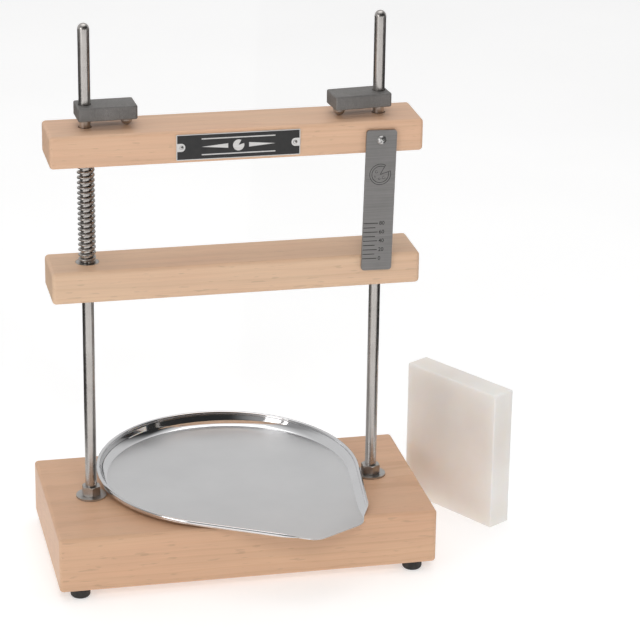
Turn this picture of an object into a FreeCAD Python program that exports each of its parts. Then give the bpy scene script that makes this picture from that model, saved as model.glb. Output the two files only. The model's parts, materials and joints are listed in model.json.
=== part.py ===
"""A table-top cheese press: a board base, two steel rods, two hardwood crossbars with springs
between them, two lever clamps, a spring gauge, a drip tray and a loose pressing block.

Frame: X runs along the crossbars, Y from the front to the back, Z up. The origin is on the
surface that the press stands on, midway between the two rods. Millimetres.
"""
import FreeCAD, Part
import math
import os

from FreeCAD import Vector

# Base board and feet
base_length = 317.0
base_depth = 165.0
base_height = 47.6
edge_round = 3.2
foot_height = 8.0
foot_diameter = 16.5
foot_inset_x = 18.0
foot_inset_y = 10.5
foot_flat_diameter = 11.0
foot_screw_diameter = 3.6
foot_head_diameter = 7.0
foot_head_height = 2.6
foot_screw_depth = 18.0
foot_recess_clearance = 0.3
foot_recess_extra = 1.0

# Rods, with a nut and washer on both sides of the base board
rod_diameter = 9.525
rod_spacing = 241.0
rod_tip = 465.0
rod_below_nut = 1.5
rod_hole_in_base = 9.8
counterbore_diameter = 28.0
counterbore_depth = 14.0
washer_diameter = 25.4
washer_thickness = 1.6
nut_across_flats = 14.3
nut_height = 8.3
nut_turn = 0.0
nut_chamfer_angle = 30.0
thread_allowance = 0.03
washer_clearance = 0.3

# Crossbars
bar_length = 304.8
bar_depth = 50.8
bar_thickness = 27.0
bar_rod_hole = 11.1
lower_bar_bottom = 238.0
bar_gap = 87.5
seat_washer_diameter = 19.0
seat_washer_thickness = 1.2
seat_clearance = 0.2

# Springs
spring_outer_diameter = 14.5
spring_wire = 2.1
spring_turns = 20.5

# Name plate
plate_length = 101.0
plate_height = 21.4
plate_thickness = 0.8
plate_corner = 1.0
plate_centre_x = -0.5
plate_pin_spacing = 92.6
plate_pin_diameter = 3.4
plate_pin_head_height = 1.1
plate_pin_shank_diameter = 1.5
plate_pin_hole_diameter = 1.6
plate_pin_depth = 9.0

# Spring gauge
gauge_width = 25.4
gauge_length = 120.0
gauge_thickness = 1.5
gauge_corner = 2.5
gauge_screw_x = 117.0
gauge_screw_below_bar_top = 15.5
gauge_screw_below_end = 8.5
gauge_lean = 1.2
gauge_spacer_thickness = 1.0
gauge_spacer_diameter = 9.5
gauge_screw_diameter = 4.0
gauge_head_diameter = 7.8
gauge_head_height = 2.4
gauge_screw_depth = 16.0
gauge_slot_width = 1.0
gauge_slot_depth = 1.2
gauge_slot_turns = (40.0, 130.0)
gauge_running_gap = 0.08

# Lever clamps
clamp_length = 48.0
clamp_depth = 25.4
clamp_height = 11.5
clamp_corner = 2.0
clamp_edge = 1.2
clamp_rod_hole = 10.7
clamp_rod_inset = 7.2
clamp_screw_inset = 7.0
clamp_screw_diameter = 5.0
clamp_screw_engaged = 8.0
clamp_head_diameter = 9.4
clamp_head_rim = 1.2
clamp_screw_neck = 2.2
clamp_foot_gap = 0.2
clamp_gap = 7.4
clamp_turns = (2.0, 5.5)

# Drip tray
tray_centre_y = 19.0
tray_floor_radius = 105.5
tray_rim_radius = 113.0
tray_cove_height = 5.0
tray_back_height = 14.0
tray_lip_height = 5.5
tray_sheet = 1.0
tray_bead_radius = 1.6
tray_clearance = 0.1
lip_direction = -61.0
lip_half_angle = 35.5
lip_reach = 146.0
lip_corner = 22.0
lip_taper = 20.0

# Loose pressing block, standing on edge beside the base
block_width = 104.0
block_thickness = 22.9
block_height = 124.0
block_edge = 1.2
block_corner_x = 226.0
block_corner_y = -11.6
block_turn = 31.5

base_top = foot_height + base_height
rod_x = rod_spacing / 2
lower_bar_top = lower_bar_bottom + bar_thickness
upper_bar_bottom = lower_bar_top + bar_gap
upper_bar_top = upper_bar_bottom + bar_thickness
bar_front = -bar_depth / 2
rim_low_x = lip_reach - lip_taper
rim_slope = (tray_back_height - tray_lip_height) / (tray_rim_radius + rim_low_x)
X_AXIS = Vector(1, 0, 0)
Y_AXIS = Vector(0, 1, 0)
Z_AXIS = Vector(0, 0, 1)
ORIGIN = Vector(0, 0, 0)


def cylinder(diameter, bottom, top, x=0.0, y=0.0):
    return Part.makeCylinder(diameter / 2, top - bottom, Vector(x, y, bottom))


def y_cylinder(diameter, front, back, x, z):
    return Part.makeCylinder(diameter / 2, back - front, Vector(x, front, z), Y_AXIS)


def centred_box(length, depth, bottom, top):
    corner = Vector(-length / 2, -depth / 2, bottom)
    return Part.makeBox(length, depth, top - bottom, corner)


def rounded_board(length, depth, bottom, top):
    board = centred_box(length, depth, bottom, top)
    return board.makeFillet(edge_round, board.Edges)


def dome(diameter, height, base_z, up=True):
    """A spherical cap with its flat face at base_z."""
    radius = (diameter ** 2 / 4 + height ** 2) / (2 * height)
    ball = Part.makeSphere(radius, Vector(0, 0, base_z + height - radius))
    cap = ball.common(cylinder(diameter, base_z, base_z + height))
    if not up:
        cap.rotate(Vector(0, 0, base_z), X_AXIS, 180)
    return cap


def moved(shape, x=0.0, y=0.0, z=0.0):
    copy = shape.copy()
    copy.translate(Vector(x, y, z))
    return copy


def ring(outer_diameter, inner_diameter, bottom, top, x):
    return cylinder(outer_diameter, bottom, top, x).cut(cylinder(inner_diameter, bottom, top, x))


def hexagon(across_flats, bottom, height, turn):
    """A hexagonal prism with one corner turned that far from the front."""
    corner_radius = across_flats / math.sqrt(3)
    points = []
    for i in range(7):
        angle = math.radians(turn - 90 + 60 * i)
        x = corner_radius * math.cos(angle)
        y = corner_radius * math.sin(angle)
        points.append(Vector(x, y, bottom))
    return Part.Face(Part.makePolygon(points)).extrude(Vector(0, 0, height))


def hex_nut(bottom, turn, x):
    """A hexagon nut whose corners are chamfered at both faces."""
    corner_diameter = 2 * nut_across_flats / math.sqrt(3)
    rise = (corner_diameter - nut_across_flats) / 2
    cone_height = nut_height + rise
    slope = math.tan(math.radians(nut_chamfer_angle))
    wide = nut_across_flats / 2 + cone_height / slope
    upper = Part.makeCone(wide, nut_across_flats / 2, cone_height, Vector(0, 0, bottom - rise))
    lower = Part.makeCone(nut_across_flats / 2, wide, cone_height, Vector(0, 0, bottom))
    nut = hexagon(nut_across_flats, bottom, nut_height, turn).common(upper).common(lower)
    bore = cylinder(rod_diameter + 2 * thread_allowance, bottom, bottom + nut_height)
    return moved(nut.cut(bore), x)


def foot_centres():
    x = base_length / 2 - foot_inset_x
    y = base_depth / 2 - foot_inset_y
    return {"front_left": (-x, -y), "front_right": (x, -y), "back_left": (-x, y), "back_right": (x, y)}


def base_board():
    board = rounded_board(base_length, base_depth, foot_height, base_top)
    for side in (-1, 1):
        board = board.cut(cylinder(rod_hole_in_base, foot_height, base_top, side * rod_x))
        top = foot_height + counterbore_depth
        board = board.cut(cylinder(counterbore_diameter, foot_height, top, side * rod_x))
    screw_top = foot_height + foot_screw_depth
    for x, y in foot_centres().values():
        board = board.cut(cylinder(foot_screw_diameter, foot_height, screw_top, x, y))
    return board


def rubber_foot(x, y):
    """A round foot that curves in to a flat underside, with a recess for its screw."""
    outer = foot_diameter / 2
    inset = (foot_diameter - foot_flat_diameter) / 2
    bulge = inset * (1 - math.sqrt(0.5))
    flat_edge = Vector(outer - inset, 0, 0)
    side_start = Vector(outer, 0, inset)
    side_end = Vector(outer, 0, foot_height)
    centre_top = Vector(0, 0, foot_height)
    profile = [
        Part.LineSegment(ORIGIN, flat_edge).toShape(),
        Part.Arc(flat_edge, Vector(outer - bulge, 0, bulge), side_start).toShape(),
        Part.LineSegment(side_start, side_end).toShape(),
        Part.LineSegment(side_end, centre_top).toShape(),
        Part.LineSegment(centre_top, ORIGIN).toShape(),
    ]
    foot = Part.Face(Part.Wire(profile)).revolve(ORIGIN, Z_AXIS, 360)
    recess_diameter = foot_head_diameter + 2 * foot_recess_clearance
    foot = foot.cut(cylinder(recess_diameter, 0, foot_head_height + foot_recess_extra))
    foot = foot.cut(cylinder(foot_screw_diameter, 0, foot_height))
    return moved(foot, x, y)


def foot_screw(x, y):
    seat = foot_head_height + foot_recess_extra
    head = cylinder(foot_head_diameter, seat - foot_head_height, seat)
    shank = cylinder(foot_screw_diameter, seat, foot_height + foot_screw_depth)
    return moved(head.fuse(shank), x, y)


def rod(side):
    """A steel rod with a hemispherical upper end."""
    x = side * rod_x
    radius = rod_diameter / 2
    start = underside_nut_bottom() - rod_below_nut
    shaft = cylinder(rod_diameter, start, rod_tip - radius, x)
    return shaft.fuse(Part.makeSphere(radius, Vector(x, 0, rod_tip - radius))).removeSplitter()


def underside_nut_bottom():
    return foot_height + counterbore_depth - washer_thickness - nut_height


def pair(make):
    """One shape holding the left and the right copy of a fastener as separate solids."""
    return Part.makeCompound([make(-1), make(1)])


def base_washer(side):
    hole = rod_diameter + 2 * washer_clearance
    return ring(washer_diameter, hole, base_top, base_top + washer_thickness, side * rod_x)


def base_nut(side):
    return hex_nut(base_top + washer_thickness, nut_turn, side * rod_x)


def underside_washer(side):
    top = foot_height + counterbore_depth
    hole = rod_diameter + 2 * washer_clearance
    return ring(washer_diameter, hole, top - washer_thickness, top, side * rod_x)


def underside_nut(side):
    return hex_nut(underside_nut_bottom(), nut_turn, side * rod_x)


def crossbar(bottom, seat_on_top):
    """A hardwood bar that slides on both rods, with a shallow seat at each spring."""
    top = bottom + bar_thickness
    bar = rounded_board(bar_length, bar_depth, bottom, top)
    seat_diameter = seat_washer_diameter + 2 * seat_clearance
    seat_bottom = top - seat_washer_thickness if seat_on_top else bottom
    seat_top = seat_bottom + seat_washer_thickness
    for side in (-1, 1):
        bar = bar.cut(cylinder(bar_rod_hole, bottom, top, side * rod_x))
        bar = bar.cut(cylinder(seat_diameter, seat_bottom, seat_top, side * rod_x))
    return bar


def seat_washer(side, bottom):
    top = bottom + seat_washer_thickness
    return ring(seat_washer_diameter, bar_rod_hole, bottom, top, side * rod_x)


def spring(side):
    """A compression spring with its ends ground flat, between the two crossbars."""
    middle_radius = (spring_outer_diameter - spring_wire) / 2
    pitch = bar_gap / spring_turns
    helix = Part.makeHelix(pitch, bar_gap + pitch, middle_radius)
    start = Part.Circle(Vector(middle_radius, 0, 0), Y_AXIS, spring_wire / 2)
    section = Part.Wire([start.toShape()])
    coil = Part.Wire(helix.Edges).makePipeShell([section], True, True)
    coil = moved(coil, side * rod_x, 0, lower_bar_top - pitch / 2)
    keep = cylinder(2 * spring_outer_diameter, lower_bar_top, upper_bar_bottom, side * rod_x)
    return coil.common(keep)


def rounded_plate(width, height, thickness, corner):
    """A plate in the XZ plane, centred on the origin, with its front face at y = 0."""
    plate = Part.makeBox(width, thickness, height, Vector(-width / 2, 0, -height / 2))
    corners = [e for e in plate.Edges if abs(e.tangentAt(e.FirstParameter).y) > 0.99]
    return plate.makeFillet(corner, corners)


def nameplate():
    plate = rounded_plate(plate_length, plate_height, plate_thickness, plate_corner)
    middle = (upper_bar_bottom + upper_bar_top) / 2
    front = bar_front - plate_thickness
    plate = moved(plate, plate_centre_x, front, middle)
    for x in plate_pin_places():
        plate = plate.cut(y_cylinder(plate_pin_hole_diameter, front, bar_front, x, middle))
    return plate


def plate_pin_places():
    return (plate_centre_x - plate_pin_spacing / 2, plate_centre_x + plate_pin_spacing / 2)


def plate_pin(x):
    """A round-headed pin, driven through the name plate into the bar."""
    cap = dome(plate_pin_diameter, plate_pin_head_height, 0)
    shank = cylinder(plate_pin_shank_diameter, -plate_pin_depth, 0)
    pin = cap.fuse(shank)
    pin.rotate(ORIGIN, X_AXIS, 90)
    middle = (upper_bar_bottom + upper_bar_top) / 2
    return moved(pin, x, bar_front - plate_thickness, middle)


def gauge_screw_height():
    return upper_bar_top - gauge_screw_below_bar_top


def gauge_plate():
    """The marked plate, hanging from its screw and leaning a little."""
    plate = rounded_plate(gauge_width, gauge_length, gauge_thickness, gauge_corner)
    z = gauge_screw_height()
    back = bar_front - gauge_spacer_thickness
    front = back - gauge_thickness
    plate = moved(plate, gauge_screw_x, front, z + gauge_screw_below_end - gauge_length / 2)
    hole = y_cylinder(gauge_screw_diameter + 0.2, front, back, gauge_screw_x, z)
    plate = plate.cut(hole)
    plate.rotate(Vector(gauge_screw_x, 0, z), Y_AXIS, gauge_lean)
    return plate


def gauge_spacer():
    """The spacer ring behind the gauge plate, a hair short of touching it."""
    front = bar_front - gauge_spacer_thickness + 0.02
    z = gauge_screw_height()
    outer = y_cylinder(gauge_spacer_diameter, front, bar_front, gauge_screw_x, z)
    return outer.cut(y_cylinder(gauge_screw_diameter + 0.1, front, bar_front, gauge_screw_x, z))


def gauge_screw():
    """A pan-head screw with a cross recess, holding the gauge plate loosely."""
    head_back = bar_front - gauge_spacer_thickness - gauge_thickness - gauge_running_gap
    z = gauge_screw_height()
    head = dome(gauge_head_diameter, gauge_head_height, 0)
    slot_length = gauge_head_diameter / 2
    slot_bottom = gauge_head_height - gauge_slot_depth
    for turn in gauge_slot_turns:
        slot = centred_box(slot_length, gauge_slot_width, slot_bottom, gauge_head_height)
        slot.rotate(ORIGIN, Z_AXIS, turn)
        head = head.cut(slot)
    shank_length = gauge_screw_depth + bar_front - head_back
    screw = head.fuse(cylinder(gauge_screw_diameter, -shank_length, 0))
    screw.rotate(ORIGIN, X_AXIS, 90)
    return moved(screw, gauge_screw_x, head_back, z)


def clamp_placed(shape, side):
    """Turns a clamp part, made for the left rod, about its rod and moves it into place."""
    placed = shape.copy()
    if side > 0:
        placed = placed.mirror(ORIGIN, X_AXIS)
    turn = clamp_turns[0] if side < 0 else clamp_turns[1]
    placed.rotate(ORIGIN, Z_AXIS, turn)
    return moved(placed, side * rod_x)


def clamp_screw_place():
    return clamp_length - clamp_rod_inset - clamp_screw_inset


def clamp_block(side):
    """A cast block with its rod hole near one end and a tapped blind hole near the other."""
    bottom = upper_bar_top + clamp_gap
    top = bottom + clamp_height
    corner = Vector(-clamp_rod_inset, -clamp_depth / 2, bottom)
    block = Part.makeBox(clamp_length, clamp_depth, clamp_height, corner)
    upright = [e for e in block.Edges if abs(e.tangentAt(e.FirstParameter).z) > 0.99]
    block = block.makeFillet(clamp_corner, upright)
    block = block.makeFillet(clamp_edge, block.Edges)
    block = block.cut(cylinder(clamp_rod_hole, bottom, top))
    hole_top = bottom + clamp_screw_engaged
    block = block.cut(cylinder(clamp_screw_diameter, bottom, hole_top, clamp_screw_place()))
    return clamp_placed(block, side)


def clamp_screw(side):
    """The button-head screw that the free end of the clamp stands on."""
    bottom = upper_bar_top + clamp_gap
    rim_top = bottom - clamp_screw_neck
    rim_bottom = rim_top - clamp_head_rim
    cap_height = rim_bottom - upper_bar_top - clamp_foot_gap
    head = dome(clamp_head_diameter, cap_height, rim_bottom, up=False)
    rim = cylinder(clamp_head_diameter, rim_bottom, rim_top)
    shank = cylinder(clamp_screw_diameter - 0.04, rim_top, bottom + clamp_screw_engaged - 0.5)
    screw = head.fuse(rim).fuse(shank)
    return clamp_placed(moved(screw, clamp_screw_place()), side)


def polar(radius, degrees, z):
    """A point at that distance and angle from the tray's lip axis."""
    angle = math.radians(degrees)
    return Vector(radius * math.cos(angle), radius * math.sin(angle), z)


def teardrop(radius, reach, z):
    """A round outline drawn out along +X by two tangents, cut off square at the reach."""
    touch = 90 - lip_half_angle
    half_angle = math.radians(lip_half_angle)
    half_mouth = (radius / math.sin(half_angle) - reach) * math.tan(half_angle)
    left = polar(radius, touch, z)
    right = polar(radius, -touch, z)
    mouth_left = Vector(reach, half_mouth, z)
    mouth_right = Vector(reach, -half_mouth, z)
    edges = [
        Part.Arc(left, polar(radius, 180, z), right).toShape(),
        Part.LineSegment(right, mouth_right).toShape(),
        Part.LineSegment(mouth_right, mouth_left).toShape(),
        Part.LineSegment(mouth_left, left).toShape(),
    ]
    return Part.Wire(edges)


def rim_height(x):
    """The height of the tray's rim, which slopes down along +X from the back to the lip."""
    return tray_back_height - rim_slope * (x + tray_rim_radius)


def drip_tray():
    """A flat-bottomed round pan whose wall gets lower to an open pouring lip."""
    wall_radius = tray_rim_radius - tray_bead_radius
    foot = teardrop(tray_floor_radius, lip_reach, 0)
    cove = teardrop(wall_radius, lip_reach, tray_cove_height)
    rim = teardrop(wall_radius, lip_reach, tray_back_height)
    outer = Part.makeLoft([foot, cove, rim], True, True)
    past_lip = lip_reach + lip_taper
    floor = teardrop(tray_floor_radius - tray_sheet, past_lip, tray_sheet)
    inner_cove = teardrop(wall_radius - tray_sheet, past_lip, tray_cove_height + tray_sheet)
    mouth = teardrop(wall_radius - tray_sheet, past_lip, tray_back_height + tray_sheet)
    pan = outer.cut(Part.makeLoft([floor, inner_cove, mouth], True, True))
    pan = pan.cut(above_rim())
    pan = pan.fuse(tray_bead(wall_radius - tray_sheet / 2))
    pan = pan.cut(lip_run_out()).common(lip_outline())
    pan = max(pan.Solids, key=lambda solid: solid.Volume)
    pan.rotate(ORIGIN, Z_AXIS, lip_direction)
    return moved(pan, 0, tray_centre_y, base_top + tray_clearance)


def across_tray(points):
    """A prism right across the tray, with those corners in the XZ plane."""
    face = Part.Face(Part.makePolygon(points + points[:1]))
    face.translate(Vector(0, -2 * tray_rim_radius, 0))
    return face.extrude(Vector(0, 4 * tray_rim_radius, 0))


def above_rim():
    """The space above the middle of the sloping bead."""
    back = -2 * tray_rim_radius
    front = 2 * tray_rim_radius
    clear = 3 * tray_back_height
    return across_tray(
        [
            Vector(back, 0, rim_height(back) - tray_bead_radius),
            Vector(front, 0, rim_height(front) - tray_bead_radius),
            Vector(front, 0, clear),
            Vector(back, 0, clear),
        ]
    )


def tray_bead(radius):
    """The rolled bead along the sloping top of the wall."""
    path = teardrop(radius, lip_reach, 0)
    touch = 90 - lip_half_angle
    sweep = 360 - 2 * touch
    bead = Part.makeTorus(radius, tray_bead_radius, ORIGIN, Z_AXIS, -180, 180, sweep)
    bead.rotate(ORIGIN, Z_AXIS, touch)
    for edge in (path.Edges[1], path.Edges[3]):
        start = edge.Vertexes[0].Point
        end = edge.Vertexes[1].Point
        along = end.sub(start)
        bead = bead.fuse(Part.makeCylinder(tray_bead_radius, along.Length, start, along))
    bead.rotate(ORIGIN, Y_AXIS, math.degrees(math.atan(rim_slope)))
    return moved(bead, z=rim_height(0) - tray_bead_radius)


def lip_run_out():
    """What is cut away so that the wall and its bead sink to the floor at the lip."""
    past_lip = lip_reach + lip_taper
    low = tray_sheet + 0.01
    return across_tray(
        [
            Vector(rim_low_x, 0, tray_lip_height),
            Vector(lip_reach - lip_taper / 5, 0, low),
            Vector(past_lip, 0, low),
            Vector(past_lip, 0, tray_back_height),
            Vector(rim_low_x, 0, tray_back_height),
        ]
    )


def lip_outline():
    """The tray's plan as a prism, with the corners of the lip rounded off."""
    outline = teardrop(tray_rim_radius + tray_bead_radius, lip_reach, 0)
    prism = Part.Face(outline).extrude(Vector(0, 0, tray_back_height + tray_bead_radius))
    corners = []
    for edge in prism.Edges:
        upright = abs(edge.tangentAt(edge.FirstParameter).z) > 0.99
        if upright and abs(edge.CenterOfMass.x - lip_reach) < 0.01:
            corners.append(edge)
    return prism.makeFillet(lip_corner, corners)


def press_block():
    """A plain plastic block with eased edges."""
    block = Part.makeBox(block_thickness, block_width, block_height)
    block = block.makeFillet(block_edge, block.Edges)
    block.rotate(ORIGIN, Z_AXIS, block_turn)
    return moved(block, block_corner_x, block_corner_y)


def all_parts():
    lower_seat_bottom = lower_bar_top - seat_washer_thickness
    parts = {
        "base_board": base_board(),
        "foot_screws": Part.makeCompound([foot_screw(x, y) for x, y in foot_centres().values()]),
        "rod_left": rod(-1),
        "rod_right": rod(1),
        "base_washers": pair(base_washer),
        "base_nuts": pair(base_nut),
        "underside_washers": pair(underside_washer),
        "underside_nuts": pair(underside_nut),
        "lower_crossbar": crossbar(lower_bar_bottom, seat_on_top=True),
        "upper_crossbar": crossbar(upper_bar_bottom, seat_on_top=False),
        "lower_spring_washers": pair(lambda side: seat_washer(side, lower_seat_bottom)),
        "upper_spring_washers": pair(lambda side: seat_washer(side, upper_bar_bottom)),
        "spring_left": spring(-1),
        "spring_right": spring(1),
        "nameplate": nameplate(),
        "nameplate_pins": Part.makeCompound([plate_pin(x) for x in plate_pin_places()]),
        "gauge_plate": gauge_plate(),
        "gauge_spacer": gauge_spacer(),
        "gauge_screw": gauge_screw(),
        "clamp_block_left": clamp_block(-1),
        "clamp_block_right": clamp_block(1),
        "clamp_screw_left": clamp_screw(-1),
        "clamp_screw_right": clamp_screw(1),
        "drip_tray": drip_tray(),
        "press_block": press_block(),
    }
    for name, (x, y) in foot_centres().items():
        parts["foot_" + name] = rubber_foot(x, y)
    return parts


os.makedirs("parts", exist_ok=True)
for name, shape in all_parts().items():
    shape.exportStep("parts/" + name + ".step")
    print(name, "solids", len(shape.Solids), "valid", shape.isValid())
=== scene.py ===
import json
import math

import bpy
from mathutils import Matrix, Vector


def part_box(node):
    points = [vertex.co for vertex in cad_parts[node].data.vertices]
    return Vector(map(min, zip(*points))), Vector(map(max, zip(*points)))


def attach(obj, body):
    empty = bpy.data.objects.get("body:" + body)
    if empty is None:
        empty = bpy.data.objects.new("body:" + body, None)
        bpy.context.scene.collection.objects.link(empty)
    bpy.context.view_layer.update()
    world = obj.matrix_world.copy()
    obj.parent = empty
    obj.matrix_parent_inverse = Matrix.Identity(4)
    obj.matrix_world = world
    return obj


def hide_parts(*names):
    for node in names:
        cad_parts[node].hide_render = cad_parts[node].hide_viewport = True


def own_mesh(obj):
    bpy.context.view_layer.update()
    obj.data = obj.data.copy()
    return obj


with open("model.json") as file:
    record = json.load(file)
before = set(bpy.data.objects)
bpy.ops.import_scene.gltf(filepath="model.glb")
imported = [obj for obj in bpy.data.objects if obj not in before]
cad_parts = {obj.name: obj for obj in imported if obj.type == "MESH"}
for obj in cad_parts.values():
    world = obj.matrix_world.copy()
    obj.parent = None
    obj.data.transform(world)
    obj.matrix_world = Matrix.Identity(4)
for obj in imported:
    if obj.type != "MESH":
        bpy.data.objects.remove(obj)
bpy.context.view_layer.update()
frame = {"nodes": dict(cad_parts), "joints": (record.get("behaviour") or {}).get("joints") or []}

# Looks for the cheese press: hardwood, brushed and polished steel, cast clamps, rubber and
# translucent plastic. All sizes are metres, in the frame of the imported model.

MM = 0.001

# Camera
AIM = Vector((0.0743, 0.0, 0.2004))
DISTANCE = 2.3208
AZIMUTH = 12.72
ELEVATION = 21.16
ROLL = 0.84
LENS = 156.1
SENSOR = 36.0

# Rods and springs
ROUND_STEPS = 72
ROD_END_CHAMFER = 0.8 * MM
ROD_SHAFT_STEPS = 40
ROD_DOME_STEPS = 14
SPRING_WIRE = 2.1 * MM
SPRING_TURNS = 20.5
SPRING_STEPS_PER_TURN = 44
SPRING_SECTION_STEPS = 14
SPRING_CLOSED_TURNS = 1.0
SPRING_END_GAP = 0.05 * MM

# Drip tray. Its plan has the lip along +X, and is turned and moved into place at the end.
TRAY_CENTRE = Vector((0.0, 19.0 * MM))
TRAY_FLOOR_RADIUS = 105.5 * MM
TRAY_RIM_RADIUS = 113.0 * MM
TRAY_WALL_OUT = 5.85 * MM
TRAY_BACK_HEIGHT = 14.0 * MM
TRAY_LIP_HEIGHT = 5.5 * MM
TRAY_SHEET = 1.0 * MM
TRAY_BEAD = 1.6 * MM
BEAD_START = math.radians(252)
BEAD_SWEEP = math.radians(324)
BEAD_STEPS = 20
TRAY_COVE_HEIGHT = 5.0 * MM
COVE_START = -0.9 * MM
COVE_HEIGHT = 4.9 * MM
COVE_STEPS = 7
LIP_DIRECTION = math.radians(-61.0)
LIP_HALF_ANGLE = math.radians(35.5)
LIP_REACH = 146.0 * MM
LIP_CORNER = 14.0 * MM
LIP_TAPER = 20.0 * MM
LIP_GROUND_OFF = 0.5 * MM
LIP_GROUND_START = 10.0 * MM
LIP_GROUND_LENGTH = 8.0 * MM
WALL_END = LIP_REACH - 6.0 * MM
RIM_SLOPE = (TRAY_BACK_HEIGHT - TRAY_LIP_HEIGHT) / (TRAY_RIM_RADIUS + LIP_REACH - LIP_TAPER)
TRAY_TURN = Matrix.Rotation(LIP_DIRECTION, 2)
TRAY_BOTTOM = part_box("drip_tray")[0].z

# Cheese wheel with a wedge cut out, as on the name plate and the gauge
WEDGE_EDGES = (62, 18)
WHEEL_START = math.radians(WEDGE_EDGES[0])
WHEEL_SWEEP = math.radians(360 + WEDGE_EDGES[1] - WEDGE_EDGES[0])

# Name plate
FIELD_PROUD = 0.12 * MM
FIELD_DEPTH = 0.14 * MM
FIELD_EDGE = 0.7 * MM
NOTCH_RADIUS = 3.4 * MM
NOTCH_STEPS = 12
PIN_RADIUS = 1.7 * MM
RULE_HALF_LENGTH = 30.0 * MM
RULE_HEIGHT = 6.6 * MM
RULE_HALF_WIDTH = 0.45 * MM
SPEAR_ROOT = 8.5 * MM
SPEAR_HALF_WIDTH = 1.9 * MM
PLATE_WHEEL_RADIUS = 4.6 * MM

# Gauge plate
GAUGE_LEAN = math.radians(1.2)
GAUGE_WIDTH = 25.4 * MM
GAUGE_MARK_STEP = 3.81 * MM
GAUGE_MARKS = 9
GAUGE_ZERO_DROP = 2.4 * MM
MARK_INSET = 0.6 * MM
MARK_HALF_WIDTH = 0.33 * MM
LONG_MARK = 12.6 * MM
SHORT_MARK = 10.6 * MM
NUMBER_INSET = 13.6 * MM
NUMBER_SIZE = 4.6 * MM
NUMBER_WEIGHT = 0.05 * MM
GAUGE_WHEEL_DROP = 29.0 * MM
GAUGE_WHEEL_RADIUS = 9.0 * MM
GAUGE_WHEEL_INNER = 7.2 * MM
WHEEL_LINE = 0.5 * MM
HOLE_LINE = 0.3 * MM
# The wheel's holes in mm: how far right and up of its centre, and radius
HOLES_MM = ((-3.2, 2.3, 1.2), (-0.7, -3.7, 0.9), (3.0, -2.7, 1.3), (-4.3, -1.8, 0.7))
INK = 0.04 * MM

# Studio
LEFT_GREY = 0.32
RIGHT_DARK = 0.03
BACK_PALE = 0.67
OVERHEAD = 0.95
FLAG_RADII = (0.34, 3.0)
FLAG_HEIGHT = 0.5 * MM
FLOOR_REACH = 6.0


# ---------------------------------------------------------------- materials
class Shader:
    """A node material built a step at a time around one Principled shader."""

    def __init__(self, name, roughness=0.5, metallic=0.0):
        self.material = bpy.data.materials.new(name)
        self.material.use_nodes = True
        self.tree = self.material.node_tree
        self.bsdf = self.tree.nodes["Principled BSDF"]
        self.bsdf.inputs["Roughness"].default_value = roughness
        self.bsdf.inputs["Metallic"].default_value = metallic
        self.place = self.add("ShaderNodeTexCoord").outputs["Object"]

    def add(self, kind, **settings):
        node = self.tree.nodes.new(kind)
        for key, value in settings.items():
            setattr(node, key, value)
        return node

    def put(self, socket, value):
        if isinstance(value, bpy.types.NodeSocket):
            self.tree.links.new(value, socket)
        else:
            socket.default_value = value

    def stretched(self, scale, shift=(0, 0, 0)):
        node = self.add("ShaderNodeMapping")
        self.put(node.inputs["Vector"], self.place)
        node.inputs["Scale"].default_value = scale
        node.inputs["Location"].default_value = shift
        return node.outputs["Vector"]

    def noise(self, where, scale=1.0, detail=4.0, roughness=0.55, warp=0.0):
        node = self.add("ShaderNodeTexNoise")
        self.put(node.inputs["Vector"], where)
        node.inputs["Scale"].default_value = scale
        node.inputs["Detail"].default_value = detail
        node.inputs["Roughness"].default_value = roughness
        node.inputs["Distortion"].default_value = warp
        return node.outputs["Fac"]

    def spots(self, where, scale=1.0, feature="F1"):
        node = self.add("ShaderNodeTexVoronoi", feature=feature)
        self.put(node.inputs["Vector"], where)
        node.inputs["Scale"].default_value = scale
        return node.outputs["Distance"]

    def ramp(self, value, stops):
        node = self.add("ShaderNodeValToRGB")
        self.put(node.inputs["Fac"], value)
        while len(node.color_ramp.elements) < len(stops):
            node.color_ramp.elements.new(0.5)
        for element, (at, colour) in zip(node.color_ramp.elements, stops):
            element.position = at
            grey = (colour, colour, colour) if isinstance(colour, float) else colour
            element.color = (*grey, 1.0)
        return node.outputs["Color"]

    def blend(self, how, amount, first, second):
        node = self.add("ShaderNodeMix", data_type="RGBA", blend_type=how)
        self.put(node.inputs[0], amount)
        self.put(node.inputs[6], first)
        self.put(node.inputs[7], second)
        return node.outputs[2]

    def range(self, value, low, high):
        node = self.add("ShaderNodeMapRange")
        self.put(node.inputs["Value"], value)
        node.inputs["To Min"].default_value = low
        node.inputs["To Max"].default_value = high
        return node.outputs["Result"]

    def math(self, how, first, second):
        node = self.add("ShaderNodeMath", operation=how)
        self.put(node.inputs[0], first)
        self.put(node.inputs[1], second)
        return node.outputs[0]

    def bump(self, height, strength, depth, under=None):
        node = self.add("ShaderNodeBump")
        self.put(node.inputs["Height"], height)
        node.inputs["Strength"].default_value = strength
        node.inputs["Distance"].default_value = depth
        if under is not None:
            self.put(node.inputs["Normal"], under)
        return node.outputs["Normal"]

    def finish(self, colour=None, roughness=None, normal=None):
        for name, value in (("Base Color", colour), ("Roughness", roughness), ("Normal", normal)):
            if value is not None:
                self.put(self.bsdf.inputs[name], value)
        return self.material


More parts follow.
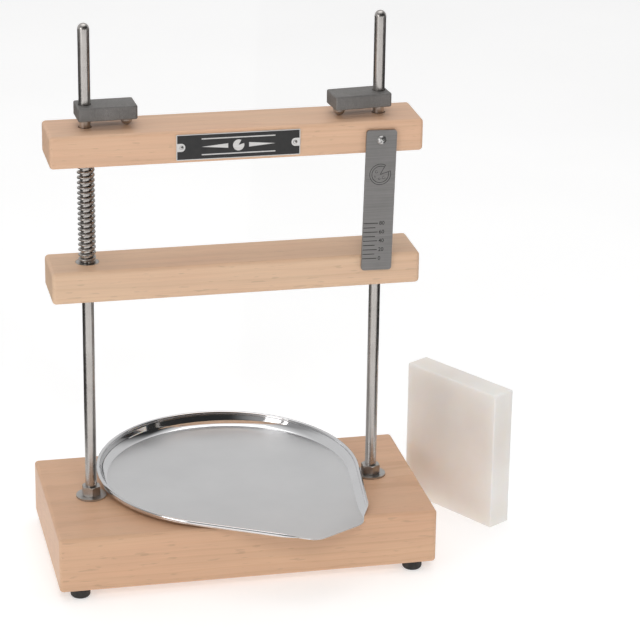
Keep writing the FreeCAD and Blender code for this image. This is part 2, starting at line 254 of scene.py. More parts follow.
def maple(name, light, dark, ring_centre, shift):
    """Pale hardwood, its fibres along X, cut from round growth rings about a far centre line."""
    s = Shader(name, roughness=0.45)
    wander = s.noise(s.stretched((5.0, 26.0, 26.0), shift), detail=2.0)
    ring_place = s.add("ShaderNodeMapping")
    s.put(ring_place.inputs["Vector"], s.place)
    ring_place.inputs["Location"].default_value = ring_centre
    ring_place.inputs["Scale"].default_value = (0.05, 1.0, 1.0)
    moved = s.add("ShaderNodeVectorMath", operation="MULTIPLY_ADD")
    s.put(moved.inputs[0], s.range(wander, -1.0, 1.0))
    moved.inputs[1].default_value = (0.0, 0.006, 0.010)
    s.put(moved.inputs[2], ring_place.outputs["Vector"])
    rings = s.add("ShaderNodeTexWave", wave_type="RINGS", rings_direction="X", wave_profile="SAW")
    s.put(rings.inputs["Vector"], moved.outputs["Vector"])
    rings.inputs["Scale"].default_value = 52.0
    rings.inputs["Distortion"].default_value = 1.2
    rings.inputs["Detail"].default_value = 2.0
    rings.inputs["Detail Scale"].default_value = 1.6
    late = s.ramp(rings.outputs["Fac"], ((0.0, 0.0), (0.62, 0.15), (0.93, 1.0), (1.0, 0.2)))
    patches = s.noise(s.stretched((4.0, 18.0, 18.0), shift), detail=2.0)
    strength = s.ramp(patches, ((0.3, 0.15), (0.7, 1.0)))
    ring_share = s.math("MULTIPLY", s.math("MULTIPLY", late, strength), 0.34)
    colour = s.blend("MIX", ring_share, (*light, 1), (*dark, 1))
    fibres = s.noise(s.stretched((16.0, 900.0, 900.0), shift), detail=5.0, roughness=0.62)
    colour = s.blend("MULTIPLY", 0.55, colour, s.ramp(fibres, ((0.25, 0.86), (0.62, 1.0))))
    streaks = s.noise(s.stretched((3.0, 120.0, 120.0), shift), detail=4.0)
    colour = s.blend("MULTIPLY", 0.55, colour, s.ramp(streaks, ((0.3, 0.88), (0.6, 1.0))))
    flecks = s.noise(s.stretched((70.0, 1500.0, 420.0), shift), detail=1.0)
    colour = s.blend("MULTIPLY", 0.5, colour, s.ramp(flecks, ((0.28, 0.72), (0.36, 1.0))))
    mottle = s.noise(s.stretched((9.0, 22.0, 22.0), shift), detail=3.0)
    colour = s.blend("OVERLAY", 0.22, colour, s.ramp(mottle, ((0.25, 0.38), (0.75, 0.62))))
    rough = s.range(fibres, 0.36, 0.54)
    grain = s.bump(fibres, 0.25, 0.00012)
    return s.finish(colour, rough, s.bump(late, 0.12, 0.0001, grain))


def brushed(name, dark, light, along, roughness, depth=0.00003, tone=0.5):
    """Steel with fine lines along one direction, small stains and soft wear."""
    s = Shader(name, roughness=roughness, metallic=1.0)
    lines = s.noise(s.stretched(along), detail=4.0, roughness=0.7)
    clouds = s.noise(s.place, scale=38.0, detail=4.0)
    colour = s.ramp(s.blend("MIX", tone, lines, clouds), ((0.32, dark), (0.68, light)))
    streaked = s.range(lines, -0.07, 0.07)
    rough = s.math("ADD", streaked, s.range(clouds, roughness - 0.05, roughness + 0.07))
    return s.finish(colour, rough, s.bump(lines, 0.35, depth))


def cast_iron():
    """Dark grey cast metal with a fine speckled, slightly pitted skin and rubbed high spots."""
    s = Shader("cast_grey", roughness=0.55, metallic=0.55)
    fine = s.noise(s.place, scale=2600.0, detail=3.0, roughness=0.7)
    lumps = s.noise(s.place, scale=420.0, detail=4.0)
    stains = s.noise(s.place, scale=60.0, detail=4.0)
    pits = s.spots(s.place, scale=900.0)
    hollow, skin, rubbed = (0.15, 0.143, 0.137), (0.245, 0.236, 0.228), (0.37, 0.36, 0.35)
    colour = s.ramp(fine, ((0.3, hollow), (0.55, skin), (0.75, rubbed)))
    colour = s.blend("MULTIPLY", 0.6, colour, s.ramp(stains, ((0.3, 0.72), (0.65, 1.0))))
    colour = s.blend("MULTIPLY", 0.5, colour, s.ramp(pits, ((0.05, 0.45), (0.22, 1.0))))
    rough = s.range(lumps, 0.42, 0.68)
    return s.finish(colour, rough, s.bump(lumps, 0.5, 0.00025, s.bump(fine, 0.6, 0.00008)))


def polished(name, roughness, base, cloud_scale):
    """Polished sheet steel: hairline scratches, faint smears and a slight unevenness."""
    s = Shader(name, roughness=roughness, metallic=1.0)
    smears = s.noise(s.place, scale=cloud_scale, detail=4.0)
    scratches = s.noise(s.stretched((40.0, 2600.0, 40.0)), detail=3.0, roughness=0.7)
    dark = tuple(c * 0.93 for c in base)
    colour = s.ramp(smears, ((0.3, dark), (0.7, base)))
    smeared = s.range(smears, roughness * 0.7, roughness * 1.25)
    rough = s.math("ADD", smeared, s.range(scratches, -0.02, 0.03))
    return s.finish(colour, rough, s.bump(scratches, 0.12, 0.00001))


def enamel():
    """Black enamel on the name plate, with dust specks and faint wear."""
    s = Shader("plate_black", roughness=0.35)
    specks = s.noise(s.place, scale=1800.0, detail=2.0)
    wear = s.noise(s.place, scale=160.0, detail=4.0)
    colour = s.ramp(wear, ((0.3, (0.007, 0.007, 0.008)), (0.75, (0.019, 0.018, 0.018))))
    colour = s.blend("ADD", 0.12, colour, s.ramp(specks, ((0.70, 0.0), (0.85, 0.18))))
    return s.finish(colour, s.range(wear, 0.26, 0.44), s.bump(specks, 0.1, 0.00003))


def etched():
    """Dark etched ink in the gauge plate's marks."""
    s = Shader("etched_ink", roughness=0.6, metallic=0.3)
    mottle = s.noise(s.place, scale=1500.0, detail=3.0)
    colour = s.ramp(mottle, ((0.3, (0.018, 0.017, 0.016)), (0.7, (0.055, 0.052, 0.05))))
    return s.finish(colour, s.range(mottle, 0.5, 0.75), s.bump(mottle, 0.3, 0.00002))


def rubber():
    """Black rubber with a fine grain and a little dust."""
    s = Shader("rubber_black", roughness=0.62)
    fine = s.noise(s.place, scale=1700.0, detail=3.0)
    dust = s.noise(s.place, scale=220.0, detail=4.0)
    colour = s.ramp(dust, ((0.35, (0.012, 0.012, 0.012)), (0.75, (0.04, 0.038, 0.036))))
    return s.finish(colour, s.range(fine, 0.5, 0.75), s.bump(fine, 0.35, 0.00006))


def white_plastic():
    """Translucent white plastic with a milled skin; light sinks into its edges."""
    s = Shader("white_plastic", roughness=0.42)
    cloud = s.noise(s.place, scale=14.0, detail=3.0)
    cuts = s.noise(s.stretched((60.0, 60.0, 900.0)), detail=3.0)
    colour = s.ramp(cloud, ((0.3, (0.80, 0.765, 0.73)), (0.7, (0.86, 0.84, 0.815))))
    s.bsdf.inputs["Subsurface Weight"].default_value = 0.85
    s.bsdf.inputs["Subsurface Radius"].default_value = (1.0, 0.86, 0.72)
    s.bsdf.inputs["Subsurface Scale"].default_value = 0.018
    s.bsdf.inputs["IOR"].default_value = 1.5
    return s.finish(colour, s.range(cuts, 0.36, 0.52), s.bump(cuts, 0.15, 0.00004))


def floor_paper():
    """White paper, lit a little from below so that only soft shadows show on it."""
    s = Shader("floor_paper", roughness=0.9)
    cloud = s.noise(s.place, scale=3.0, detail=3.0)
    colour = s.ramp(cloud, ((0.3, (0.70, 0.70, 0.70)), (0.7, (0.73, 0.73, 0.73))))
    s.bsdf.inputs["Emission Color"].default_value = (1, 1, 1, 1)
    s.bsdf.inputs["Emission Strength"].default_value = 0.46
    return s.finish(colour, s.range(cloud, 0.85, 0.95), s.bump(cloud, 0.05, 0.0005))


def flag_cloth():
    """Near-black studio cloth."""
    s = Shader("flag_cloth", roughness=0.95)
    weave = s.noise(s.place, scale=900.0, detail=2.0)
    colour = s.ramp(weave, ((0.3, (0.02, 0.02, 0.02)), (0.7, (0.04, 0.04, 0.04))))
    return s.finish(colour, s.range(weave, 0.9, 1.0))


# ---------------------------------------------------------------- mesh tools
def put_in_scene(name, data):
    """A new object in the scene, for a mesh, curve, light or camera."""
    thing = bpy.data.objects.new(name, data)
    bpy.context.scene.collection.objects.link(thing)
    return thing


def piece(name, points, faces, material, body, smooth=True):
    """A new mesh piece that rides on a body and takes the given material."""
    mesh = bpy.data.meshes.new(name)
    mesh.from_pydata([tuple(p) for p in points], [], faces)
    mesh.validate()
    mesh.materials.append(material)
    if smooth:
        mesh.shade_smooth()
    thing = put_in_scene(name, mesh)
    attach(thing, body)
    return thing


def grid_faces(rows, columns, closed_rows=False, closed_columns=False):
    """Quads over a grid of points numbered row by row."""
    faces = []
    for r in range(rows if closed_rows else rows - 1):
        for c in range(columns if closed_columns else columns - 1):
            r2 = (r + 1) % rows
            c2 = (c + 1) % columns
            faces.append((r * columns + c, r * columns + c2, r2 * columns + c2, r2 * columns + c))
    return faces


def lathe(profile, centre):
    """Points and faces of a profile of (radius, height) turned about an upright axis."""
    points = []
    for radius, height in profile:
        for i in range(ROUND_STEPS):
            angle = 2 * math.pi * i / ROUND_STEPS
            x = centre.x + radius * math.cos(angle)
            points.append((x, centre.y + radius * math.sin(angle), height))
    faces = grid_faces(len(profile), ROUND_STEPS, closed_columns=True)
    faces.append(tuple(range(ROUND_STEPS))[::-1])
    top = (len(profile) - 1) * ROUND_STEPS
    faces.append(tuple(range(top, top + ROUND_STEPS)))
    return points, faces


def repaint(material, nodes):
    """Gives CAD nodes their finished material."""
    for name in nodes:
        mesh = frame["nodes"][name].data
        mesh.materials.clear()
        mesh.materials.append(material)


# ---------------------------------------------------------------- pieces
def make_rod(side, material):
    """A round rod with a chamfered foot and a domed tip."""
    name = "rod_" + side
    low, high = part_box(name)
    centre = (low + high) / 2
    radius = (high.x - low.x) / 2
    profile = [(radius - ROD_END_CHAMFER, low.z), (radius, low.z + ROD_END_CHAMFER)]
    straight = high.z - radius
    shaft = straight - low.z - ROD_END_CHAMFER
    for i in range(1, ROD_SHAFT_STEPS + 1):
        profile.append((radius, low.z + ROD_END_CHAMFER + shaft * i / ROD_SHAFT_STEPS))
    for i in range(1, ROD_DOME_STEPS):
        angle = math.pi / 2 * i / ROD_DOME_STEPS
        profile.append((radius * math.cos(angle), straight + radius * math.sin(angle)))
    profile.append((radius * 0.02, high.z))
    points, faces = lathe(profile, centre)
    rod = piece("rod_smooth_" + side, points, faces, material, "stand")
    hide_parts(name)


def make_spring(side, material):
    """A round-wire spring with closed, ground ends."""
    name = "spring_" + side
    low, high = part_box(name)
    centre = (low + high) / 2
    radius = (high.x - low.x) / 2 - SPRING_WIRE / 2
    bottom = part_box("lower_crossbar")[1].z
    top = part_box("upper_crossbar")[0].z
    steps = int(SPRING_TURNS * SPRING_STEPS_PER_TURN)
    closed = SPRING_CLOSED_TURNS
    rise = (top - bottom - SPRING_WIRE - 2 * closed * SPRING_WIRE) / (SPRING_TURNS - 2 * closed)
    points = []
    for i in range(steps + 1):
        turn = SPRING_TURNS * i / steps
        from_end = min(turn, SPRING_TURNS - turn)
        lift = SPRING_WIRE * min(from_end, closed) + rise * max(0.0, from_end - closed)
        z = bottom + SPRING_WIRE / 2 + lift
        if turn > SPRING_TURNS / 2:
            z = top - SPRING_WIRE / 2 - lift
        angle = 2 * math.pi * turn - math.pi / 2
        for k in range(SPRING_SECTION_STEPS):
            around = 2 * math.pi * k / SPRING_SECTION_STEPS
            out = radius + SPRING_WIRE / 2 * math.cos(around)
            height = z + SPRING_WIRE / 2 * math.sin(around)
            height = min(max(height, bottom + SPRING_END_GAP), top - SPRING_END_GAP)
            x = centre.x + out * math.cos(angle)
            points.append((x, centre.y + out * math.sin(angle), height))
    faces = grid_faces(steps + 1, SPRING_SECTION_STEPS, closed_columns=True)
    faces.append(tuple(range(SPRING_SECTION_STEPS))[::-1])
    last = steps * SPRING_SECTION_STEPS
    faces.append(tuple(range(last, last + SPRING_SECTION_STEPS)))
    spring = piece("spring_coil_" + side, points, faces, material, "lower_bar")
    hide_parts(name)
    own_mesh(spring)


def tray_stations():
    """Places round the floor's edge from one corner of the lip to the other: (point, outward)."""
    touch = math.pi / 2 - LIP_HALF_ANGLE
    outward = Vector((math.cos(touch), math.sin(touch)))
    forward = Vector((math.sin(touch), -math.cos(touch)))
    to_lip = (LIP_REACH - TRAY_FLOOR_RADIUS * outward.x) / forward.x
    length = to_lip - LIP_CORNER * math.tan(touch / 2)
    straight_steps = 44
    arc_steps = 150
    straight = []
    for i in range(straight_steps):
        along = length * (1 - i / straight_steps)
        straight.append((outward * TRAY_FLOOR_RADIUS + forward * along, outward))
    arc = []
    for i in range(arc_steps + 1):
        angle = touch + (2 * math.pi - 2 * touch) * i / arc_steps
        direction = Vector((math.cos(angle), math.sin(angle)))
        arc.append((direction * TRAY_FLOOR_RADIUS, direction))
    mirrored = [(Vector((p.x, -p.y)), Vector((n.x, -n.y))) for p, n in straight]
    return straight + arc + mirrored[::-1]


def lip_edge():
    """The pouring edge with its two rounded corners, between the ends of the wall."""
    touch = math.pi / 2 - LIP_HALF_ANGLE
    centre_x = LIP_REACH - LIP_CORNER
    centre_y = (TRAY_FLOOR_RADIUS - LIP_CORNER - math.cos(touch) * centre_x) / math.sin(touch)
    corner_steps = 12
    straight_steps = 14
    corner = []
    for i in range(corner_steps):
        angle = touch * i / corner_steps
        x = centre_x + LIP_CORNER * math.cos(angle)
        corner.append(Vector((x, centre_y + LIP_CORNER * math.sin(angle))))
    mirrored = [Vector((p.x, -p.y)) for p in corner]
    straight = []
    for i in range(1, straight_steps):
        straight.append(mirrored[0].lerp(corner[0], i / straight_steps))
    return mirrored[::-1] + straight + corner


def smooth_step(value):
    """Eases from 0 to 1 as the value does."""
    value = min(max(value, 0.0), 1.0)
    return value * value * (3 - 2 * value)


def rounded_path(corners, steps):
    """A smooth line that starts and ends at the first and last corner and cuts the others."""
    path = [corners[0]]
    for i in range(1, len(corners) - 1):
        start = corners[0] if i == 1 else (corners[i - 1] + corners[i]) / 2
        end = corners[-1] if i == len(corners) - 2 else (corners[i] + corners[i + 1]) / 2
        for step in range(1, steps + 1):
            share = step / steps
            path.append(start.lerp(corners[i], share).lerp(corners[i].lerp(end, share), share))
    return path


def tray_section(rim):
    """The wall's section as (outward, height), from the floor over the bead to the underside."""
    inside = TRAY_WALL_OUT - TRAY_SHEET
    top = rim - 1.95 * TRAY_BEAD
    cove_top = min(COVE_HEIGHT, 0.6 * top + 0.8 * MM)
    corners = [
        Vector((COVE_START - 1.2 * MM, TRAY_SHEET)),
        Vector((COVE_START, TRAY_SHEET)),
        Vector((inside - 1.6 * MM, cove_top)),
        Vector((inside - 0.8 * MM, (cove_top + top) / 2)),
        Vector((inside, top)),
    ]
    section = [tuple(corner) for corner in rounded_path(corners, COVE_STEPS)]
    bead_x = TRAY_WALL_OUT - TRAY_SHEET / 2
    bead_z = rim - TRAY_BEAD
    for i in range(BEAD_STEPS + 1):
        turn = BEAD_START - BEAD_SWEEP * i / BEAD_STEPS
        section.append((bead_x + TRAY_BEAD * math.cos(turn), bead_z + TRAY_BEAD * math.sin(turn)))
    outer = [
        Vector((TRAY_WALL_OUT, top)),
        Vector((TRAY_WALL_OUT, min(TRAY_COVE_HEIGHT, 0.8 * top))),
        Vector((0.0, 0.0)),
        Vector((-1.0 * MM, 0.0)),
    ]
    section += [tuple(corner) for corner in rounded_path(outer, COVE_STEPS)]
    return section


def tray_place(flat, height):
    """From the tray's own plan, lip along +X, to the row frame."""
    spot = TRAY_TURN @ flat + TRAY_CENTRE
    return Vector((spot.x, spot.y, TRAY_BOTTOM + height))


def lip_thinning(flat):
    """How far the top of the sheet is ground down towards the pouring edge."""
    along = (flat.x - LIP_REACH + LIP_GROUND_START) / LIP_GROUND_LENGTH
    return LIP_GROUND_OFF * smooth_step(along)


def tray_wall(stations):
    """The wall's points, the count in one section, and its edges on the floor and underneath."""
    points = []
    inner_edge = []
    under_edge = []
    for spot, outward in stations:
        rim = TRAY_BACK_HEIGHT - RIM_SLOPE * (spot.x + TRAY_RIM_RADIUS)
        keep = smooth_step((WALL_END - spot.x) / LIP_TAPER)
        spread = keep * 0.96 + 0.04
        section = tray_section(rim)
        for out, up in section:
            flat = spot + outward * out * spread
            height = up * keep + min(up, TRAY_SHEET) * (1 - keep)
            points.append(tray_place(flat, height))
        inner_edge.append(spot + outward * section[0][0] * spread)
        under_edge.append(spot + outward * section[-1][0] * spread)
    return points, len(section), inner_edge, under_edge


def tray_sheet_rings(points, edge, edge_flat, top):
    """Fills the plan inside an edge with rings that close at the middle, as faces."""
    rings = 28
    faces = []
    previous = edge
    for ring in range(1, rings):
        shrink = 1 - (ring / rings) ** 1.6
        current = []
        for flat in edge_flat:
            current.append(len(points))
            height = TRAY_SHEET - lip_thinning(flat * shrink) if top else 0.0
            points.append(tray_place(flat * shrink, height))
        for i in range(len(edge)):
            j = (i + 1) % len(edge)
            quad = (previous[i], previous[j], current[j], current[i])
            faces.append(quad if top else quad[::-1])
        previous = current
    centre = len(points)
    points.append(tray_place(Vector((0.0, 0.0)), TRAY_SHEET if top else 0.0))
    for i in range(len(edge)):
        j = (i + 1) % len(edge)
        triangle = (previous[i], previous[j], centre)
        faces.append(triangle if top else triangle[::-1])
    return faces


def make_tray(wall_material, floor_material):
    """The round pan: wall, floor and underside in one mesh, with a finish of the floor's own."""
    stations = tray_stations()
    points, columns, inner_edge, under_edge = tray_wall(stations)
    wall_faces = grid_faces(len(stations), columns)
    mouth = lip_edge()
    top_mouth = []
    low_mouth = []
    for flat in mouth:
        top_mouth.append(len(points))
        points.append(tray_place(flat, TRAY_SHEET - lip_thinning(flat)))
    for flat in mouth:
        low_mouth.append(len(points))
        points.append(tray_place(flat, 0.0))
    top_edge = [i * columns for i in range(len(stations))] + top_mouth
    low_edge = [i * columns + columns - 1 for i in range(len(stations))] + low_mouth
    floor_faces = tray_sheet_rings(points, top_edge, inner_edge + mouth, True)
    under_faces = tray_sheet_rings(points, low_edge, under_edge + mouth, False)
    last = (len(stations) - 1) * columns
    upper = [last] + top_mouth + [0]
    lower = [last + columns - 1] + low_mouth + [columns - 1]
    rim_faces = [(upper[i], lower[i], lower[i + 1], upper[i + 1]) for i in range(len(upper) - 1)]
    faces = wall_faces + floor_faces + under_faces + rim_faces
    tray = piece("tray_pan", points, faces, wall_material, "tray")
    tray.data.materials.append(floor_material)
    for index in range(len(wall_faces), len(wall_faces) + len(floor_faces)):
        tray.data.polygons[index].material_index = 1
    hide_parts("drip_tray")


def flat_solid(name, outline, front, depth, material, body, turn=None):
    """A thin upright piece with that outline in X and Z, its front face at that y."""
    count = len(outline)
    points = []
    for y in (front, front + depth):
        for x, z in outline:
            points.append(Vector((x, y, z)))
    if turn is not None:
        points = [turn @ p for p in points]
    faces = [tuple(range(count)), tuple(range(count, 2 * count))[::-1]]
    for i in range(count):
        j = (i + 1) % count
        faces.append((i, i + count, j + count, j)[::-1])
    return piece(name, points, faces, material, body, smooth=False)


def bar_outline(left, right, low, high):
    """The four corners of an upright rectangle in X and Z."""
    return [(left, low), (right, low), (right, high), (left, high)]


def notch(x, z, side):
    """Half a flattened circle cut into the black field round a pin, from side * 90 degrees."""
    arc = []
    for i in range(NOTCH_STEPS + 1):
        angle = side * (math.pi / 2 - math.pi * i / NOTCH_STEPS)
        reach = side * NOTCH_RADIUS * math.cos(angle) * 0.9
        arc.append((x + reach, z + NOTCH_RADIUS * math.sin(angle)))
    return arc


def make_nameplate(black, silver):
    """A black field on a silver plate, with plain rules and a wheel with a wedge taken out."""
    low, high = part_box("nameplate")
    middle = (low + high) / 2
    front = low.y - FIELD_PROUD
    left, right = low.x + FIELD_EDGE, high.x - FIELD_EDGE
    bottom, top = low.z + FIELD_EDGE, high.z - FIELD_EDGE
    under, over = middle.z - NOTCH_RADIUS, middle.z + NOTCH_RADIUS
    pin_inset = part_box("nameplate_pins")[0].x + PIN_RADIUS - low.x - FIELD_EDGE
    field = [(left, bottom), (right, bottom), (right, under)]
    field += notch(right - pin_inset, middle.z, -1)
    field += [(right, over), (right, top), (left, top), (left, over)]
    field += notch(left + pin_inset, middle.z, 1)
    field.append((left, under))
    flat_solid("nameplate_field", field, front, FIELD_DEPTH, black, "upper_bar")

    def silver_shape(name, outline):
        flat_solid(name, outline, front - INK, INK, silver, "upper_bar")

    for count, height in enumerate((RULE_HEIGHT, -RULE_HEIGHT)):
        z = middle.z + height
        start, end = middle.x - RULE_HALF_LENGTH, middle.x + RULE_HALF_LENGTH
        rule = bar_outline(start, end, z - RULE_HALF_WIDTH, z + RULE_HALF_WIDTH)
        silver_shape(f"nameplate_rule_{count}", rule)
    for side in (-1, 1):
        root = middle.x + side * SPEAR_ROOT
        tip = (middle.x + side * RULE_HALF_LENGTH, middle.z)
        spear = [(root, middle.z - SPEAR_HALF_WIDTH), tip, (root, middle.z + SPEAR_HALF_WIDTH)]
        silver_shape(f"nameplate_spear_{side + 1}", spear[::side])
    silver_shape("nameplate_wheel", wheel_outline(middle.x, middle.z, PLATE_WHEEL_RADIUS))


def wheel_outline(x, z, radius):
    """A round cheese seen from above with a wedge cut out of it."""
    outline = [(x, z)]
    steps = 40
    for i in range(steps + 1):
        angle = WHEEL_START + WHEEL_SWEEP * i / steps
        outline.append((x + radius * math.cos(angle), z + radius * math.sin(angle)))
    return outline


def ring_outline(x, z, radius, width, steps=48):
    """The outline of a thin ring that is open over the wedge."""
    outer = []
    inner = []
    for i in range(steps + 1):
        angle = WHEEL_START + WHEEL_SWEEP * i / steps
        outer.append((x + radius * math.cos(angle), z + radius * math.sin(angle)))
        within = radius - width
        inner.append((x + within * math.cos(angle), z + within * math.sin(angle)))
    return outer + inner[::-1]


def gauge_turn():
    """The lean of the hanging gauge plate about its screw."""
    pivot = Vector([j for j in frame["joints"] if j["name"] == "gauge_swing"][0]["pos_m"])
    lean = Matrix.Rotation(GAUGE_LEAN, 4, "Y")
    return Matrix.Translation(pivot) @ lean @ Matrix.Translation(-pivot), pivot


def make_gauge_marks(ink):
    """Marks and numbers up the plate's left side, and a cheese wheel above them."""
    turn, pivot = gauge_turn()
    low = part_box("gauge_plate")[0]
    front = low.y - INK * 0.6
    left = pivot.x - GAUGE_WIDTH / 2
    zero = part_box("lower_crossbar")[1].z - GAUGE_ZERO_DROP

    def ink_shape(name, outline):
        flat_solid(name, outline, front, INK, ink, "gauge", turn)

    for i in range(GAUGE_MARKS):
        z = zero + i * GAUGE_MARK_STEP
        end = left + (LONG_MARK if i % 2 == 0 else SHORT_MARK)
        mark = bar_outline(left + MARK_INSET, end, z - MARK_HALF_WIDTH, z + MARK_HALF_WIDTH)
        ink_shape(f"gauge_mark_{i}", mark)
    for i in range(0, GAUGE_MARKS, 2):
        height = zero + i * GAUGE_MARK_STEP
        make_number(str(i * 10), left + NUMBER_INSET, height, front, ink, turn)
    wheel_z = pivot.z - GAUGE_WHEEL_DROP
    for name, radius in (("rim", GAUGE_WHEEL_RADIUS), ("inner", GAUGE_WHEEL_INNER)):
        ink_shape(f"gauge_wheel_{name}", ring_outline(pivot.x, wheel_z, radius, WHEEL_LINE))
    for count, degrees in enumerate(WEDGE_EDGES):
        angle = math.radians(degrees)
        along = Vector((math.cos(angle), math.sin(angle)))
        across = Vector((-along.y, along.x)) * (WHEEL_LINE / 2)
        end = along * GAUGE_WHEEL_RADIUS
        cut = [-across, end - across, end + across, across]
        ink_shape(f"gauge_wheel_cut_{count}", [(pivot.x + p.x, wheel_z + p.y) for p in cut])
    for count, (right, up, radius) in enumerate(HOLES_MM):
        x, z = pivot.x + right * MM, wheel_z + up * MM
        ink_shape(f"gauge_wheel_hole_{count}", ring_outline(x, z, radius * MM, HOLE_LINE, 20))


def make_number(text, left, middle, front, ink, turn):
    """An etched number on the gauge, standing to the right of its mark."""
    curve = bpy.data.curves.new("number_" + text, "FONT")
    curve.body = text
    curve.size = NUMBER_SIZE
    curve.align_y = "CENTER"
    curve.extrude = INK / 2
    curve.offset = NUMBER_WEIGHT
    curve.resolution_u = 4
    digits = put_in_scene("number_curve_" + text, curve)
    bpy.context.view_layer.update()
    shown = digits.evaluated_get(bpy.context.evaluated_depsgraph_get())
    mesh = bpy.data.meshes.new_from_object(shown)
    bpy.data.objects.remove(digits)
    upright = Matrix.Rotation(math.pi / 2, 4, "X")
    stand = Matrix.Translation((left, front + INK / 2, middle)) @ upright
    mesh.transform(turn @ stand)
    mesh.materials.clear()
    mesh.materials.append(ink)
    number = put_in_scene("gauge_number_" + text, mesh)
    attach(number, "gauge")


# ---------------------------------------------------------------- studio
def make_camera():
    """A long lens that looks down on the front from a little to its left, rolled a little."""
    azimuth = math.radians(AZIMUTH)
    elevation = math.radians(ELEVATION)
    roll = math.radians(ROLL)
    level = math.cos(elevation)
    forward = Vector((math.sin(azimuth) * level, math.cos(azimuth) * level, -math.sin(elevation)))
    level_right = forward.cross(Vector((0, 0, 1))).normalized()
    level_up = level_right.cross(forward)
    right = level_right * math.cos(roll) + level_up * math.sin(roll)
    up = level_up * math.cos(roll) - level_right * math.sin(roll)
    data = bpy.data.cameras.new("camera")
    data.lens = LENS
    data.sensor_width = SENSOR
    data.clip_end = 50.0
    camera = put_in_scene("camera", data)
    turn = Matrix((right, up, -forward)).transposed().to_4x4()
    camera.matrix_world = Matrix.Translation(AIM - forward * DISTANCE) @ turn
    bpy.context.scene.camera = camera


def soft_light(name, place, target, size, power, colour=(1, 1, 1), mirrored=True):
    """A rectangular light aimed at a target; mirrored says if polished steel shows it."""
    data = bpy.data.lights.new(name, "AREA")
    data.shape = "RECTANGLE"
    data.size, data.size_y = size
    data.energy = power
    data.color = colour
    light = put_in_scene(name, data)
    light.visible_glossy = mirrored
    light.location = place
    light.rotation_euler = (Vector(target) - Vector(place)).to_track_quat("-Z", "Y").to_euler()


def make_world():
    """A studio room: pale behind and overhead, grey on the left, dark on the right of the front."""
    world = bpy.data.worlds.new("studio")
    world.use_nodes = True
    bpy.context.scene.world = world
    nodes = world.node_tree.nodes
    links = world.node_tree.links

    def faded(value, low, high, first, last):
        node = nodes.new("ShaderNodeMapRange")
        node.interpolation_type = "SMOOTHSTEP"
        links.new(value, node.inputs["Value"])
        for name, number in zip(("From Min", "From Max"), (low, high)):
            node.inputs[name].default_value = number
        for name, setting in zip(("To Min", "To Max"), (first, last)):
            if isinstance(setting, float):
                node.inputs[name].default_value = setting
            else:
                links.new(setting, node.inputs[name])
        return node.outputs["Result"]

    split = nodes.new("ShaderNodeSeparateXYZ")
    links.new(nodes.new("ShaderNodeTexCoord").outputs["Generated"], split.inputs[0])
    front = faded(split.outputs["X"], -0.62, -0.15, LEFT_GREY, RIGHT_DARK)
    around = faded(split.outputs["Y"], -0.15, 0.45, front, BACK_PALE)
    room = faded(split.outputs["Z"], 0.72, 0.95, around, OVERHEAD)
    background = nodes["Background"]
    links.new(room, background.inputs["Color"])
    plain = nodes.new("ShaderNodeBackground")
    plain.inputs["Color"].default_value = (0.96, 0.96, 0.96, 1)
    switch = nodes.new("ShaderNodeMixShader")
    links.new(nodes.new("ShaderNodeLightPath").outputs["Is Camera Ray"], switch.inputs["Fac"])
    links.new(background.outputs[0], switch.inputs[1])
    links.new(plain.outputs[0], switch.inputs[2])
    links.new(switch.outputs[0], nodes["World Output"].inputs["Surface"])


def make_flag(name, start, end, material):
    """A dark cloth laid round the set, seen only in reflections."""
    steps = 24
    points = []
    for radius in FLAG_RADII:
        for i in range(steps + 1):
            angle = math.radians(start + (end - start) * i / steps)
            points.append((radius * math.sin(angle), -radius * math.cos(angle), FLAG_HEIGHT))
    mesh = bpy.data.meshes.new(name)
    mesh.from_pydata(points, [], grid_faces(2, steps + 1))
    mesh.materials.append(material)
    flag = put_in_scene(name, mesh)
    flag.visible_camera = False
    flag.visible_diffuse = False
    flag.visible_shadow = False
    flag.visible_transmission = False


def make_floor(material):
    """Plain pale paper that reaches past the picture's edges."""
    reach = FLOOR_REACH
    corners = [(-reach, -reach, 0), (reach, -reach, 0), (reach, reach, 0), (-reach, reach, 0)]
    mesh = bpy.data.meshes.new("floor")
    mesh.from_pydata(corners, [], [(0, 1, 2, 3)])
    mesh.materials.append(material)
    put_in_scene("floor", mesh)


# ---------------------------------------------------------------- assembly
make_camera()
bpy.context.scene.view_settings.view_transform = "Standard"
make_world()
soft_light("key", (-0.15, -2.3, 2.0), (0, 0, 0.2), (1.1, 0.7), 21.5, (1.0, 0.985, 0.97), False)
soft_light("left", (-2.2, -1.5, 1.0), (0, 0, 0.2), (1.0, 1.4), 12, (1.0, 0.99, 0.98))
soft_light("right", (2.4, -1.3, 1.0), (0, 0, 0.2), (0.7, 1.2), 9, (1.0, 0.99, 0.98), False)
soft_light("top", (0.0, 0.3, 2.2), (0, 0, 0.1), (1.8, 1.2), 5)
make_floor(floor_paper())
cloth = flag_cloth()
make_flag("flag_right", 52, 168, cloth)
make_flag("flag_left", -168, -70, cloth)

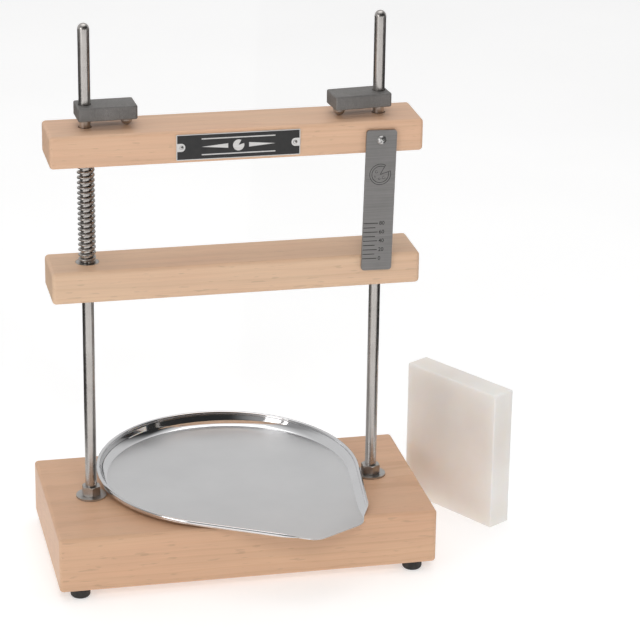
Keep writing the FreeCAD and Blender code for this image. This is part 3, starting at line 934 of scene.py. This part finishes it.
base_wood = maple(
    "maple_base", (0.73, 0.455, 0.29), (0.55, 0.30, 0.16), (0.0, 0.03, 0.16), (3.1, 0.4, 1.7)
)
lower_wood = maple(
    "maple_lower", (0.77, 0.53, 0.36), (0.60, 0.36, 0.21), (0.0, -0.07, -0.12), (7.7, 2.2, 0.3)
)
upper_wood = maple(
    "maple_upper", (0.765, 0.49, 0.325), (0.58, 0.33, 0.19), (0.0, 0.05, -0.27), (1.3, 5.1, 2.6)
)
repaint(base_wood, ["base_board"])
repaint(lower_wood, ["lower_crossbar"])
repaint(upper_wood, ["upper_crossbar"])

rod_steel = brushed(
    "stainless", (0.40, 0.375, 0.355), (0.60, 0.575, 0.55), (1400.0, 1400.0, 8.0), 0.27
)
coil_steel = brushed(
    "spring_steel", (0.33, 0.315, 0.30), (0.56, 0.54, 0.52), (500.0, 500.0, 500.0), 0.30
)
fastener_steel = brushed(
    "zinc_hardware", (0.36, 0.345, 0.33), (0.58, 0.56, 0.54), (240.0, 900.0, 240.0), 0.36
)
gauge_steel = brushed(
    "gauge_steel", (0.20, 0.195, 0.19), (0.31, 0.30, 0.295), (12.0, 12.0, 1500.0), 0.42, tone=0.35
)
plate_silver = brushed(
    "plate_silver", (0.52, 0.51, 0.50), (0.74, 0.73, 0.72), (30.0, 30.0, 1500.0), 0.32
)
repaint(fastener_steel, [
    "base_washers", "base_nuts", "underside_washers", "underside_nuts", "foot_screws",
    "lower_spring_washers", "upper_spring_washers", "gauge_spacer",
    "clamp_screw_left", "clamp_screw_right",
])
repaint(plate_silver, ["nameplate", "nameplate_pins", "gauge_screw"])
repaint(gauge_steel, ["gauge_plate"])
repaint(cast_iron(), ["clamp_block_left", "clamp_block_right"])
repaint(rubber(), ["foot_front_left", "foot_front_right", "foot_back_left", "foot_back_right"])
repaint(white_plastic(), ["press_block"])

for side in ("left", "right"):
    make_rod(side, rod_steel)
    make_spring(side, coil_steel)
wall_steel = polished("tray_wall", 0.06, (0.80, 0.80, 0.81), 30.0)
floor_steel = polished("tray_floor", 0.42, (0.78, 0.78, 0.785), 18.0)
make_tray(wall_steel, floor_steel)
make_nameplate(enamel(), plate_silver)
make_gauge_marks(etched())
